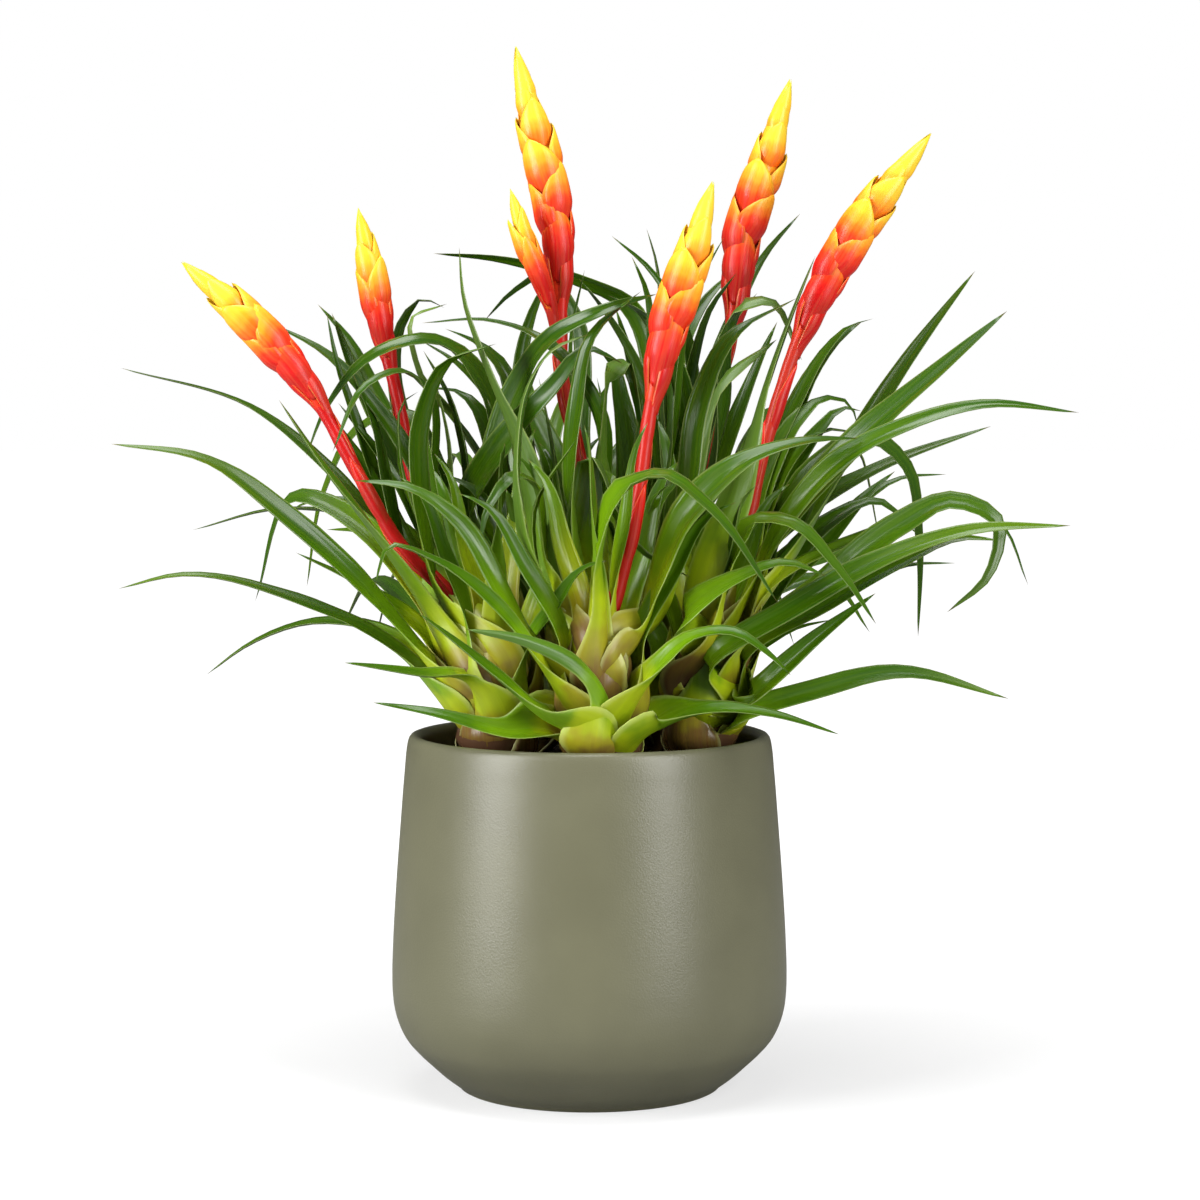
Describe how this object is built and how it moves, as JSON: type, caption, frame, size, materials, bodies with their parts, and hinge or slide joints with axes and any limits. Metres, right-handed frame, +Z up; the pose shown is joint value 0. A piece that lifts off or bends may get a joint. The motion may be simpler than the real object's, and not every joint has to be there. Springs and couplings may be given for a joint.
{
  "type": "potted vriesea",
  "caption": "Potted vriesea: a clump of narrow arching green leaves with tapered red to yellow flower spikes, in a round sage-grey ceramic pot with a tapered foot.",
  "frame": {"origin": "middle of the flat underside of the pot", "axes": "+Z up, -Y towards the front of the picture, +X to its right"},
  "size_m": [0.3833, 0.2674, 0.425],
  "materials": {
    "pot_ceramic": "matt sage grey glaze",
    "soil": "loose dark potting soil with bark",
    "leaf": "satin green leaf, yellow-green at the foot",
    "bract": "waxy bract, red at the foot to yellow at the tip"
  },
  "bodies": {
    "root": {"pot": "pot_ceramic", "soil": "soil", "rosette_left": "leaf", "rosette_backleft": "leaf", "rosette_middle": "leaf", "rosette_front": "leaf", "rosette_backright": "leaf", "rosette_right": "leaf", "spike_left": "bract", "spike_backleft": "bract", "spike_middle": "bract", "spike_front": "bract", "spike_backright": "bract", "spike_right": "bract"}
  },
  "joints": []
}
